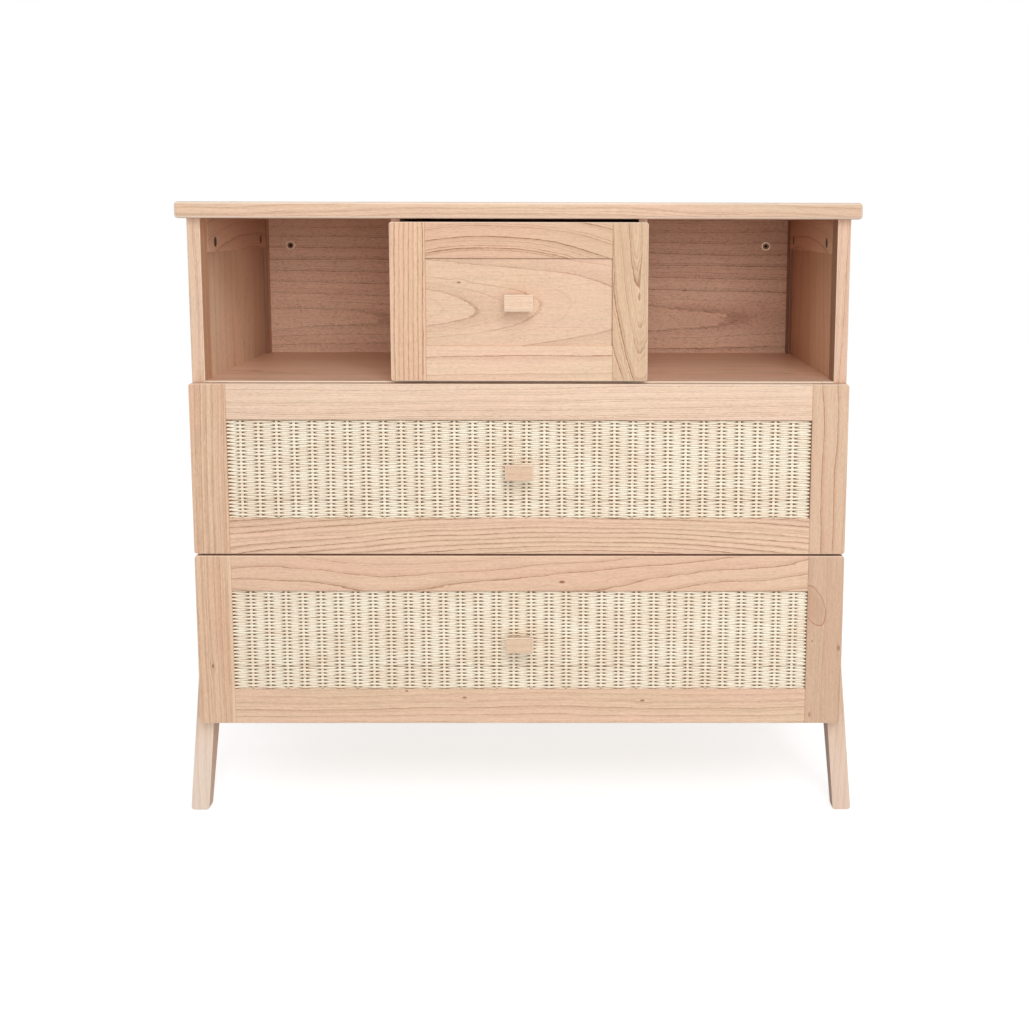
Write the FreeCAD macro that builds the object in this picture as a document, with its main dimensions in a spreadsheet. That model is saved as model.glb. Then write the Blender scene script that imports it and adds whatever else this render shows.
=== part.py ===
import FreeCAD, Part
import os
import Sketcher

# Chest of drawers in wood: four splayed legs that run up as posts, framed side panels, a thick top,
# a small centre drawer between two open compartments, and two full-width drawers with woven rattan.
# X runs to the right, Y runs from the front to the back, Z runs up from the floor. Millimetres.
# Heights are from the floor. Depths are first counted from the front face of the front legs, and
# "centre_y" then moves the whole chest so that the origin lies under the middle of its box.

SIZES = {
    # top and legs
    "overall_height": 898,
    "top_width": 960,
    "top_thickness": 23,
    "top_overhang": 16,
    "top_edge_round": 5,
    "carcass_width": 935,
    "carcass_depth": 416,
    "post_width": 19,
    "post_depth": 36,
    "foot_spread": 24.5,
    "foot_inset": 16.5,
    "outer_splay_height": 273,
    "inner_splay_height": 192,
    "foot_depth": 21,
    "foot_taper_height": 144,
    "leg_edge_round": 2,
    "sole_round": 5,
    # frames between the legs
    "side_rail_height": 49,
    "low_rail_bottom": 152,
    "low_rail_height": 20,
    "middle_rail_height": 34,
    "cross_rail_thickness": 20,
    "rail_setback": 5,
    "side_panel_thickness": 9,
    "groove_depth": 8,
    "rail_groove_depth": 6,
    "tenon_length": 9,
    "tenon_shoulder": 6,
    "joint_play": 0.1,
    "board_edge_round": 1,
    # open compartments
    "shelf_height": 645,
    "shelf_thickness": 18,
    "back_board_thickness": 12,
    "lower_board_thickness": 5,
    "divider_thickness": 12,
    "divider_span": 360,
    # drawer fronts
    "front_thickness": 18,
    "front_gap": 1,
    "low_front_bottom": 143,
    "low_front_height": 251,
    "middle_front_height": 246.5,
    "small_front_height": 223,
    "small_front_width": 362,
    "front_spacing": 3,
    "shelf_spacing": 4,
    "large_member_width": 52,
    "small_member_width": 50,
    "front_corner_round": 4,
    "front_edge_round": 1.5,
    "small_panel_thickness": 8,
    "small_panel_recess": 2.5,
    "rattan_thickness": 3,
    "rattan_recess": 2.5,
    "backing_thickness": 4,
    # knobs
    "knob_width": 41,
    "knob_height": 24.5,
    "knob_reach": 24,
    "knob_taper": 14,
    "knob_round": 1.8,
    # drawer boxes
    "box_thickness": 12,
    "box_depth": 360,
    "large_box_height": 190,
    "small_box_height": 190,
    "large_box_clearance": 7,
    "small_box_clearance": 9,
    "box_floor_thickness": 5,
    "box_floor_lift": 12,
    "box_groove": 6,
    # telescopic slides
    "slide_thickness": 12.7,
    "slide_height": 45,
    "slide_length": 350,
    "slide_setback": 3,
    "slide_sheet": 1.2,
    "slide_play": 0.4,
    "slide_lift": 70,
    # fittings
    "cam_diameter": 15,
    "cam_depth": 12,
    "cam_distance": 34,
    "cam_front_place": 75,
    "cam_back_place": 70,
    "cam_slot_width": 2,
    "cam_slot_depth": 3,
    "cam_pin_diameter": 7,
    "cam_pin_bite": 11,
    "wall_bolt_span": 820,
    "wall_bolt_drop": 45,
    "wall_bolt_head": 15,
    "wall_bolt_head_thickness": 2,
    "wall_bolt_socket": 5,
    "wall_bolt_diameter": 6,
    "wall_nut_diameter": 14,
    "wall_nut_thickness": 4,
    "screw_diameter": 4,
    "screw_head_diameter": 8,
    "screw_head_thickness": 2.5,
    "screw_bite": 11,
    "screw_edge": 6,
    "screw_inset": 60,
}

# Sizes that follow from others. The boards at the back end at the rear face of the legs.
TIED_SIZES = {
    "interior_depth": "carcass_depth - lower_board_thickness - back_board_thickness",
}

doc = FreeCAD.newDocument("ChestOfDrawers")
sheet = doc.addObject("Spreadsheet::Sheet", "Sizes")


class Length:
    """A length in millimetres, with the formula that ties it to the sheet of sizes."""

    def __init__(self, number, formula):
        self.number = number
        self.formula = formula

    def __add__(self, other):
        other = as_length(other)
        return Length(self.number + other.number, f"({self.formula} + {other.formula})")

    def __sub__(self, other):
        other = as_length(other)
        return Length(self.number - other.number, f"({self.formula} - {other.formula})")

    def __mul__(self, other):
        other = as_length(other)
        return Length(self.number * other.number, f"({self.formula} * {other.formula})")

    def __truediv__(self, other):
        other = as_length(other)
        return Length(self.number / other.number, f"({self.formula} / {other.formula})")

    def __neg__(self):
        return Length(-self.number, f"(0 - {self.formula})")


def as_length(value):
    """A plain number as a length of its own."""
    if isinstance(value, Length):
        return value
    return Length(float(value), repr(float(value)))


class Names:
    """Holds one length for each named size."""


cells = {name: str(number) for name, number in SIZES.items()}
cells.update({name: f"={formula}" for name, formula in TIED_SIZES.items()})
for row, (name, cell) in enumerate(cells.items(), start=1):
    sheet.set(f"A{row}", name)
    sheet.set(f"B{row}", cell)
    sheet.setAlias(f"B{row}", name)
doc.recompute()

size = Names()
for name in cells:
    setattr(size, name, Length(float(sheet.get(name)), f"Sizes.{name}"))

zero = as_length(0)

# Planes and heights that several pieces share.
outer_half = size.carcass_width / 2
inner_half = outer_half - size.post_width
top_under = size.overall_height - size.top_thickness
front_back = -size.front_gap
front_face = front_back - size.front_thickness
centre_y = (size.carcass_depth + front_face - size.knob_reach) / 2
shelf_under = size.shelf_height - size.shelf_thickness
low_rail_top = size.low_rail_bottom + size.low_rail_height
panel_inset = (size.post_width - size.side_panel_thickness) / 2
rail_back = size.rail_setback + size.cross_rail_thickness
low_front_top = size.low_front_bottom + size.low_front_height
middle_front_bottom = low_front_top + size.front_spacing
middle_front_top = middle_front_bottom + size.middle_front_height
small_front_bottom = middle_front_top + size.shelf_spacing
middle_rail_bottom = low_front_top + size.front_spacing / 2 - size.middle_rail_height / 2
middle_rail_top = middle_rail_bottom + size.middle_rail_height
divider_outer = size.divider_span / 2
divider_inner = divider_outer - size.divider_thickness
cam_height = top_under - size.cam_distance


def place(item, x, y, z):
    """Puts a piece at a corner given from the front face of the legs."""
    for axis, value in (("x", x), ("y", y - centre_y), ("z", z)):
        item.setExpression(".Placement.Base." + axis, value.formula)


def drive(feature, prop, value):
    """Binds one size of a feature to the sheet."""
    setattr(feature, prop, value.number)
    feature.setExpression(prop, value.formula)


def origin_plane(body, role):
    """One of a body's own base planes."""
    for plane in body.Origin.OriginFeatures:
        if plane.Role == role:
            return plane
    raise ValueError(role)


corner_of = {}


def new_body(label, x, y, z):
    """An empty body with its corner at a place on the chest."""
    body = doc.addObject("PartDesign::Body", label)
    body.Label = label
    place(body, x, y, z)
    corner_of[body.Name] = (x, y, z)
    return body


def outline(body, role, points):
    """A closed outline of straight lines, each corner held from the body's corner."""
    sketch = body.newObject("Sketcher::SketchObject", "Outline")
    sketch.AttachmentSupport = (origin_plane(body, role), [""])
    sketch.MapMode = "FlatFace"
    corners = [(as_length(across), as_length(up)) for across, up in points]
    count = len(corners)
    for index in range(count):
        here = corners[index]
        there = corners[(index + 1) % count]
        start = FreeCAD.Vector(here[0].number, here[1].number, 0)
        end = FreeCAD.Vector(there[0].number, there[1].number, 0)
        sketch.addGeometry(Part.LineSegment(start, end))
    for index in range(count):
        sketch.addConstraint(Sketcher.Constraint("Coincident", index, 2, (index + 1) % count, 1))
    for index, (across, up) in enumerate(corners):
        for kind, value, axis in (("DistanceX", across, -2), ("DistanceY", up, -1)):
            if value.number == 0:
                sketch.addConstraint(Sketcher.Constraint("PointOnObject", index, 1, axis))
            else:
                held = sketch.addConstraint(Sketcher.Constraint(kind, -1, 1, index, 1, value.number))
                sketch.setExpression(f"Constraints[{held}]", value.formula)
    return sketch


def pad(body, sketch, length, backwards=False):
    """Thickens an outline. Outlines on the front plane are padded towards the back of the chest."""
    feature = body.newObject("PartDesign::Pad", "Pad")
    feature.Profile = sketch
    drive(feature, "Length", length)
    feature.Reversed = backwards
    return feature


def board(label, x, y, z):
    """A squared board between two places along each axis, each pair given as (low, high)."""
    body = new_body(label, x[0], y[0], z[0])
    wide = x[1] - x[0]
    deep = y[1] - y[0]
    sketch = outline(body, "XY_Plane", [(0, 0), (wide, 0), (wide, deep), (0, deep)])
    pad(body, sketch, z[1] - z[0])
    return body


def block(body, kind, x, y, z):
    """A squared block added to a body or cut from it, between places on the chest."""
    corner = corner_of[body.Name]
    feature = body.newObject(f"PartDesign::{kind}Box", "Block")
    for prop, pair in (("Length", x), ("Width", y), ("Height", z)):
        drive(feature, prop, pair[1] - pair[0])
    for axis, pair, start in zip("xyz", (x, y, z), corner):
        feature.setExpression(".Placement.Base." + axis, (pair[0] - start).formula)
    return feature


def add_block(body, x, y, z):
    return block(body, "Additive", x, y, z)


def cut_block(body, x, y, z):
    return block(body, "Subtractive", x, y, z)


DIRECTIONS = {
    "x": FreeCAD.Vector(1, 0, 0),
    "y": FreeCAD.Vector(0, 1, 0),
    "z": FreeCAD.Vector(0, 0, 1),
}


def turned(axis):
    """The turn that lays an upright cylinder along an axis."""
    return FreeCAD.Rotation(DIRECTIONS["z"], DIRECTIONS[axis])


def drill(body, axis, start, diameter, depth):
    """A round hole from a place on the chest along an axis."""
    corner = corner_of[body.Name]
    feature = body.newObject("PartDesign::SubtractiveCylinder", "Drill")
    drive(feature, "Radius", diameter / 2)
    drive(feature, "Height", depth)
    feature.Placement = FreeCAD.Placement(FreeCAD.Vector(0, 0, 0), turned(axis))
    for name, place_now, base in zip("xyz", start, corner):
        feature.setExpression(".Placement.Base." + name, (place_now - base).formula)
    return feature


def rod(label, axis, start, diameter, length):
    """A plain round bar from a place on the chest along an axis."""
    item = doc.addObject("Part::Cylinder", label)
    item.Label = label
    drive(item, "Radius", diameter / 2)
    drive(item, "Height", length)
    item.Placement = FreeCAD.Placement(FreeCAD.Vector(0, 0, 0), turned(axis))
    place(item, *start)
    return item


def slab(label, x, y, z):
    """A plain squared block, used as a tool or a loose part."""
    item = doc.addObject("Part::Box", label)
    item.Label = label
    for prop, pair in (("Length", x), ("Width", y), ("Height", z)):
        drive(item, prop, pair[1] - pair[0])
    place(item, x[0], y[0], z[0])
    return item


def combine(kind, label, base, tool):
    """One solid cut from or joined to another."""
    item = doc.addObject("Part::" + kind, label)
    item.Label = label
    item.Base = base
    item.Tool = tool
    return item


def mirrored(label, source, axis):
    """The same piece for the other side of the chest: "x" swaps left and right, "y" front and back."""
    item = doc.addObject("Part::Mirroring", label)
    item.Label = label
    item.Source = source
    item.Normal = DIRECTIONS[axis]
    if axis == "y":
        item.setExpression(".Base.y", (size.carcass_depth / 2 - centre_y).formula)
    return item


def group(label, items):
    """Separate solids that are kept as one sub-part."""
    item = doc.addObject("Part::Compound", label)
    item.Label = label
    item.Links = items
    return item


def pair(label, item):
    """A piece of the right-hand side together with its twin on the left."""
    return group(label, [item, mirrored(label + "_twin", item, "x")])


def lies_on(edge, axis, place_now):
    """True for an edge that stays on one plane square to an axis."""
    box = edge.BoundBox
    low, high = {"x": (box.XMin, box.XMax), "y": (box.YMin, box.YMax), "z": (box.ZMin, box.ZMax)}[axis]
    return abs(low - place_now) < 1e-4 and abs(high - place_now) < 1e-4


def span_of(edge, axis):
    """How far an edge runs along an axis."""
    box = edge.BoundBox
    return {"x": box.XLength, "y": box.YLength, "z": box.ZLength}[axis]


def round_edges(body, radius, chosen):
    """Rounds the edges that a test picks, given each edge and the box round the piece."""
    doc.recompute()
    base = body.Tip
    box = base.Shape.BoundBox
    edges = [f"Edge{n}" for n, edge in enumerate(base.Shape.Edges, 1) if chosen(edge, box)]
    feature = body.newObject("PartDesign::Fillet", "Round")
    feature.Base = (base, edges)
    drive(feature, "Radius", radius)
    return feature


def every_edge(edge, box):
    return True


def front_edges(edge, box):
    return lies_on(edge, "y", box.YMin)


def long_x_edges(edge, box):
    return span_of(edge, "x") > box.XLength / 2


def long_z_edges(edge, box):
    return span_of(edge, "z") > box.ZLength / 2


kept = []


def keep(*items):
    """Marks sub-parts for hand-in."""
    kept.extend(items)


# Table top: one thick board, all its edges rounded over, bored below for the four cam pins.
top = board(
    "table_top",
    (-size.top_width / 2, size.top_width / 2),
    (-size.top_overhang, size.carcass_depth),
    (top_under, size.overall_height),
)
round_edges(top, size.top_edge_round, every_edge)
cam_places = [size.cam_front_place, size.carcass_depth - size.cam_back_place]
pin_line = (inner_half + outer_half) / 2
pin_bore = size.cam_pin_diameter + size.joint_play * 2
for side in (-1, 1):
    for along in cam_places:
        drill(top, "z", (pin_line * side, along, top_under), pin_bore, size.cam_pin_bite)
keep(top)

# Legs: each is one piece from the floor to the top. It stands straight as a post, then splays
# outwards below, and its inner side tapers from back to front. Grooves take the side panel and its
# rails, and two mortises take the cross rails. The other three legs are its mirror images.
leg = new_body("right_front_leg", inner_half, zero, zero)
leg_outline = outline(
    leg,
    "XZ_Plane",
    [
        (0, size.inner_splay_height),
        (size.foot_inset, 0),
        (size.post_width + size.foot_spread, 0),
        (size.post_width, size.outer_splay_height),
        (size.post_width, top_under),
        (0, top_under),
    ],
)
pad(leg, leg_outline, size.post_depth, backwards=True)
taper = outline(
    leg,
    "YZ_Plane",
    [(size.foot_depth, 0), (size.post_depth, 0), (size.post_depth, size.foot_taper_height)],
)
taper_cut = leg.newObject("PartDesign::Pocket", "Taper")
taper_cut.Profile = taper
drive(taper_cut, "Length", size.post_width + size.foot_spread + size.foot_inset)
taper_cut.Reversed = True


def sole_sides(edge, box):
    """The inner and the outer edge of the sole."""
    return lies_on(edge, "z", box.ZMin) and span_of(edge, "y") > span_of(edge, "x")


def leg_edges(edge, box):
    """The long upright edges, and those that carry on from them round the sole."""
    upright = span_of(edge, "z") > (box.ZLength / 8)
    at_sole = edge.BoundBox.ZMin < box.ZMin + box.ZLength / 80
    return upright or (at_sole and span_of(edge, "x") > span_of(edge, "y"))


round_edges(leg, size.sole_round, sole_sides)
round_edges(leg, size.leg_edge_round, leg_edges)
groove_low = inner_half + panel_inset - size.joint_play
groove_high = outer_half - panel_inset + size.joint_play
cut_block(
    leg,
    (groove_low, groove_high),
    (size.post_depth - size.groove_depth, size.post_depth),
    (size.low_rail_bottom, top_under),
)
tenon_y = (size.rail_setback + size.tenon_shoulder, rail_back - size.tenon_shoulder)
tenon_levels = [
    (size.low_rail_bottom + size.tenon_shoulder, low_rail_top - size.tenon_shoulder),
    (middle_rail_bottom + size.tenon_shoulder, middle_rail_top - size.tenon_shoulder),
]
for level in tenon_levels:
    cut_block(
        leg,
        (inner_half, inner_half + size.tenon_length + size.joint_play),
        (tenon_y[0] - size.joint_play, tenon_y[1] + size.joint_play),
        (level[0] - size.joint_play, level[1] + size.joint_play),
    )
left_leg = mirrored("left_front_leg", leg, "x")
keep(leg, left_leg, mirrored("right_back_leg", leg, "y"), mirrored("left_back_leg", left_leg, "y"))

# Side rails: a top and a low rail between the legs on each side, with tongues in the legs' grooves
# and a groove of their own for the panel. The top rail holds two cams that draw the top down.
between_legs = (size.post_depth, size.carcass_depth - size.post_depth)
tongue_reach = size.groove_depth - size.joint_play
tongue_ends = (between_legs[0] - tongue_reach, between_legs[1] + tongue_reach)
tongue_x = (inner_half + panel_inset, outer_half - panel_inset)
top_rail_bottom = top_under - size.side_rail_height


def side_rail(label, z, groove_z):
    """One rail of a side frame, with its tongues and its panel groove."""
    rail = board(label, (inner_half, outer_half), between_legs, z)
    round_edges(rail, size.board_edge_round, lambda edge, box: span_of(edge, "y") > box.YLength / 2)
    add_block(rail, tongue_x, tongue_ends, z)
    cut_block(rail, (groove_low, groove_high), tongue_ends, groove_z)
    return rail


side_top = side_rail(
    "right_side_top_rail",
    (top_rail_bottom, top_under),
    (top_rail_bottom, top_rail_bottom + size.rail_groove_depth),
)
cam_bore = size.cam_diameter + size.joint_play * 2
for along in cam_places:
    start = (inner_half, along, cam_height)
    drill(side_top, "x", start, cam_bore, size.cam_depth + size.joint_play)
    drill(side_top, "z", (pin_line, along, cam_height), pin_bore, size.cam_distance)
keep(side_top, mirrored("left_side_top_rail", side_top, "x"))
side_low = side_rail(
    "side_bottom_rail",
    (size.low_rail_bottom, low_rail_top),
    (low_rail_top - size.rail_groove_depth, low_rail_top),
)
keep(pair("side_bottom_rails", side_low))

# Side panels: thin boards that float in the grooves of the legs and the two rails.
panel_reach = size.rail_groove_depth - size.joint_play
side_panel = board(
    "right_side_panel",
    tongue_x,
    tongue_ends,
    (low_rail_top - panel_reach, top_rail_bottom + panel_reach),
)
keep(side_panel, mirrored("left_side_panel", side_panel, "x"))

# Display shelf: it floors the open compartments and reaches out to the side panels between the legs.
shelf_half = inner_half + panel_inset - size.joint_play
shelf = board(
    "display_shelf",
    (-shelf_half, shelf_half),
    (zero, size.interior_depth),
    (shelf_under, size.shelf_height),
)
leg_notch = inner_half - size.joint_play
notch_front = (zero, size.post_depth + size.joint_play)
notch_back = (size.carcass_depth - size.post_depth - size.joint_play, size.interior_depth)
for notch_y in (notch_front, notch_back):
    for notch_x in ((-shelf_half, -leg_notch), (leg_notch, shelf_half)):
        cut_block(shelf, notch_x, notch_y, (shelf_under, size.shelf_height))
round_edges(
    shelf,
    size.board_edge_round,
    lambda edge, box: long_x_edges(edge, box) and front_edges(edge, box),
)
keep(shelf)

# Dividers: two upright boards that frame the small drawer.
divider = board(
    "right_divider",
    (divider_inner, divider_outer),
    (zero, size.interior_depth),
    (size.shelf_height, top_under),
)
round_edges(
    divider,
    size.board_edge_round,
    lambda edge, box: long_z_edges(edge, box) and front_edges(edge, box),
)
keep(divider, mirrored("left_divider", divider, "x"))

# Back: a thick upper board that shows in the open compartments, and a thin board behind the drawers.
back_board_rear = size.interior_depth + size.back_board_thickness
upper_back = board(
    "upper_back_panel",
    (-inner_half, inner_half),
    (size.interior_depth, back_board_rear),
    (shelf_under, top_under),
)
wall_bolt_height = top_under - size.wall_bolt_drop
wall_bolt_line = size.wall_bolt_span / 2
wall_bore = size.wall_bolt_diameter + size.joint_play * 2
for side in (-1, 1):
    start = (wall_bolt_line * side, size.interior_depth, wall_bolt_height)
    drill(upper_back, "y", start, wall_bore, size.back_board_thickness)
lower_back = board(
    "lower_back_panel",
    (-inner_half, inner_half),
    (back_board_rear, size.carcass_depth),
    (size.low_rail_bottom, size.shelf_height),
)
keep(upper_back, lower_back)


# Cross rails: a middle and a low rail tie the legs together behind the drawer fronts, and the same
# two at the back. The low rail's ends slope with the splay of the legs.
def leg_line(height):
    """How far the inner side of a leg stands from the middle at a height in its splay."""
    return inner_half + size.foot_inset * (size.inner_splay_height - height) / size.inner_splay_height


def cross_rail(label, bottom, top_height, half_bottom, half_top, level):
    rail = new_body(label, -half_bottom, size.rail_setback, bottom)
    tall = top_height - bottom
    slope = half_bottom - half_top
    points = [(0, 0), (half_bottom * 2, 0), (half_bottom * 2 - slope, tall), (slope, tall)]
    pad(rail, outline(rail, "XZ_Plane", points), size.cross_rail_thickness, backwards=True)
    reach = inner_half + size.tenon_length
    add_block(rail, (-reach, reach), tenon_y, level)
    return rail


middle_rail = cross_rail(
    "front_middle_rail", middle_rail_bottom, middle_rail_top, inner_half, inner_half, tenon_levels[1]
)
low_half = leg_line(size.low_rail_bottom)
low_rail = cross_rail(
    "front_low_rail", size.low_rail_bottom, low_rail_top, low_half, leg_line(low_rail_top), tenon_levels[0]
)
keep(group("front_rails", [middle_rail, low_rail]))
keep(
    group(
        "back_rails",
        [mirrored("back_middle_rail", middle_rail, "y"), mirrored("back_low_rail", low_rail, "y")],
    )
)

# Drawer boxes and their slides stand on heights that follow from the rails and the shelf.
box_bottoms = {
    "lower": low_rail_top + size.large_box_clearance,
    "middle": middle_rail_top + size.large_box_clearance,
    "top": size.shelf_height + size.small_box_clearance,
}
slide_levels = {name: bottom + size.slide_lift for name, bottom in box_bottoms.items()}

# Slide battens: strips on the side panels, flush with the legs, that the drawer slides lie on.
battens = []
for name in ("middle", "lower"):
    level = slide_levels[name]
    batten = board(
        f"{name}_slide_batten",
        (inner_half, inner_half + panel_inset),
        between_legs,
        (level - size.slide_height / 2, level + size.slide_height / 2),
    )
    battens += [batten, mirrored(f"{name}_slide_batten_twin", batten, "x")]
keep(group("slide_battens", battens))

# Cams: slotted discs let into the side top rails, and the upright pins that they pull down.
cams = []
pins = []
pin_low = cam_height + size.cam_diameter / 2 + size.joint_play
pin_top = top_under + size.cam_pin_bite - size.joint_play
for number, along in enumerate(cam_places):
    disc = rod(f"cam_disc_{number}", "x", (inner_half, along, cam_height), size.cam_diameter, size.cam_depth)
    slot = slab(
        f"cam_slot_{number}",
        (inner_half, inner_half + size.cam_slot_depth),
        (along - size.cam_slot_width / 2, along + size.cam_slot_width / 2),
        (cam_height - size.cam_diameter / 3, cam_height + size.cam_diameter / 3),
    )
    cam = combine("Cut", f"cam_{number}", disc, slot)
    cams += [cam, mirrored(f"cam_twin_{number}", cam, "x")]
    pin = rod(f"pin_{number}", "z", (pin_line, along, pin_low), size.cam_pin_diameter, pin_top - pin_low)
    pins += [pin, mirrored(f"pin_twin_{number}", pin, "x")]
keep(group("cam_locks", cams), group("cam_pins", pins))

# Wall fixing bolts: a flat socket head on the inside of the back, and a round nut behind it.
head_front = size.interior_depth - size.wall_bolt_head_thickness
bolt_start = (wall_bolt_line, head_front, wall_bolt_height)
bolt_end = back_board_rear + size.wall_nut_thickness
head = rod("bolt_head", "y", bolt_start, size.wall_bolt_head, size.wall_bolt_head_thickness)
shank = rod("bolt_shank", "y", bolt_start, size.wall_bolt_diameter, bolt_end - head_front)
socket = rod("bolt_socket", "y", bolt_start, size.wall_bolt_socket, size.wall_bolt_head_thickness)
bolt = combine("Cut", "wall_bolt", combine("Fuse", "bolt_whole", head, shank), socket)
nut_start = (wall_bolt_line, back_board_rear, wall_bolt_height)
nut_disc = rod("nut_disc", "y", nut_start, size.wall_nut_diameter, size.wall_nut_thickness)
nut_bore = rod("nut_bore", "y", nut_start, wall_bore, size.wall_nut_thickness)
nut = combine("Cut", "wall_nut", nut_disc, nut_bore)
twins = [mirrored("wall_bolt_twin", bolt, "x"), mirrored("wall_nut_twin", nut, "x")]
keep(group("wall_fixing_bolts", [bolt, nut] + twins))


# Telescopic slides: three nested steel channels on each side of a drawer box.
def channel(label, mount, y, level, web, reach, tall, open_inwards):
    """One channel, its web upright and its two flanges level. The drawer lies towards the middle."""
    low = level - tall / 2
    wide = web[1] - web[0]
    deep = reach[1] - reach[0]
    sheet_metal = size.slide_sheet
    body = new_body(label, mount - reach[1], y[0], low)
    if open_inwards:
        points = [
            (0, 0),
            (deep, 0),
            (deep, tall),
            (0, tall),
            (0, tall - sheet_metal),
            (deep - wide, tall - sheet_metal),
            (deep - wide, sheet_metal),
            (0, sheet_metal),
        ]
    else:
        points = [
            (0, 0),
            (deep, 0),
            (deep, sheet_metal),
            (wide, sheet_metal),
            (wide, tall - sheet_metal),
            (deep, tall - sheet_metal),
            (deep, tall),
            (0, tall),
        ]
    pad(body, outline(body, "XZ_Plane", points), y[1] - y[0], backwards=True)
    return body


slide_y = (size.slide_setback, size.slide_setback + size.slide_length)
sheet_and_play = size.slide_sheet + size.slide_play
middle_tall = size.slide_height - sheet_and_play * 2
inner_tall = middle_tall - sheet_and_play * 2
flange_end = size.slide_thickness - size.slide_play * 2


def slide_set(name, mount):
    """The right-hand members of one drawer's slides: fixed, middle and drawer member."""
    level = slide_levels[name]
    fixed = channel(
        f"{name}_fixed_member", mount, slide_y, level, (zero, size.slide_sheet), (zero, flange_end),
        size.slide_height, True,
    )
    carried = channel(
        f"{name}_middle_member", mount, slide_y, level, (sheet_and_play, sheet_and_play + size.slide_sheet),
        (sheet_and_play, flange_end), middle_tall, True,
    )
    moved = channel(
        f"{name}_drawer_member", mount, slide_y, level, (zero, size.slide_sheet),
        (sheet_and_play * 2, size.slide_thickness), inner_tall, False,
    )
    return fixed, carried, moved


slide_mounts = {"top": divider_inner, "middle": inner_half, "lower": inner_half}
fixed_members = []
drawer_members = {}
for name, mount in slide_mounts.items():
    fixed, carried, moved = slide_set(name, mount)
    fixed_members += [fixed, mirrored(f"{name}_fixed_member_twin", fixed, "x")]
    keep(pair(f"{name}_drawer_slide_middle_members", carried))
    drawer_members[name] = moved
keep(group("slide_fixed_members", fixed_members))


# Drawer fronts: a frame of two full-height stiles with two rails between them, rounded at the outer
# corners. A groove all round its inner edge holds the solid panel, or the rattan and its backing.
front_y = (front_face, front_back)


def stile(label, x, z, inner_x, groove_y):
    """The stile on the right of a front."""
    body = board(label, x, front_y, z)
    round_edges(
        body,
        size.front_corner_round,
        lambda edge, box: span_of(edge, "y") > box.YLength / 2 and lies_on(edge, "x", box.XMax),
    )
    round_edges(
        body,
        size.front_edge_round,
        lambda edge, box: front_edges(edge, box) and not lies_on(edge, "x", box.XMin),
    )
    inner_z = (z[0], z[1])
    cut_block(body, (inner_x, inner_x + size.groove_depth), groove_y, inner_z)
    return body


def front_rail(label, opening_half, z, is_top, groove_y):
    """A rail between the stiles, with a tongue at each end in their grooves."""
    body = board(label, (-opening_half, opening_half), front_y, z)

    def outer_edge(edge, box):
        level = box.ZMax if is_top else box.ZMin
        return front_edges(edge, box) and lies_on(edge, "z", level)

    round_edges(body, size.front_edge_round, outer_edge)
    reach = opening_half + tongue_reach
    tongue_y = (groove_y[0] + size.joint_play, groove_y[1] - size.joint_play)
    add_block(body, (-reach, reach), tongue_y, z)
    groove_z = (z[0], z[0] + size.groove_depth) if is_top else (z[1] - size.groove_depth, z[1])
    cut_block(body, (-reach, reach), groove_y, groove_z)
    return body


def front_frame(name, half_width, z, member, groove_y):
    """The four framing members of one drawer front."""
    opening_half = half_width - member
    right = stile(f"{name}_drawer_right_stile", (opening_half, half_width), z, opening_half, groove_y)
    left = mirrored(f"{name}_drawer_left_stile", right, "x")
    upper = front_rail(f"{name}_drawer_top_rail", opening_half, (z[1] - member, z[1]), True, groove_y)
    lower = front_rail(f"{name}_drawer_bottom_rail", opening_half, (z[0], z[0] + member), False, groove_y)
    keep(left, right, upper, lower)
    return upper, lower


def infill(label, half_width, z, member, y):
    """A thin board that fills a front's frame and reaches into its grooves."""
    half = half_width - member + tongue_reach
    return board(label, (-half, half), y, (z[0] + member - tongue_reach, z[1] - member + tongue_reach))


# Drawer boxes: two long sides with a front and a back board between them, and a thin floor in a
# groove. The slides' drawer members lie on the sides.
box_y = (front_back, front_back + size.box_depth)


def drawer_box(name, mount, tall):
    """One drawer box and the slide members it carries."""
    half = mount - size.slide_thickness
    inside = half - size.box_thickness
    bottom = box_bottoms[name]
    z = (bottom, bottom + tall)
    floor_z = (bottom + size.box_floor_lift, bottom + size.box_floor_lift + size.box_floor_thickness)
    groove_z = (floor_z[0] - size.joint_play, floor_z[1] + size.joint_play)
    side = board(f"{name}_box_side", (inside, half), box_y, z)
    cut_block(side, (inside, inside + size.box_groove), box_y, groove_z)
    ends = []
    front_board_y = (box_y[0], box_y[0] + size.box_thickness)
    back_board_y = (box_y[1] - size.box_thickness, box_y[1])
    for label, y, groove in (
        ("front", front_board_y, (front_board_y[1] - size.box_groove, front_board_y[1])),
        ("back", back_board_y, (back_board_y[0], back_board_y[0] + size.box_groove)),
    ):
        end = board(f"{name}_box_{label}", (-inside, inside), y, z)
        cut_block(end, (-inside, inside), groove, groove_z)
        ends.append(end)
    reach = size.box_groove - size.joint_play
    box_floor = board(
        f"{name}_drawer_box_floor",
        (-inside - reach, inside + reach),
        (front_board_y[1] - reach, back_board_y[0] + reach),
        floor_z,
    )
    keep(pair(f"{name}_drawer_box_sides", side), group(f"{name}_drawer_box_ends", ends), box_floor)
    keep(pair(f"{name}_drawer_slide_inner_members", drawer_members[name]))
    return ends[0], z, inside


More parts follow.
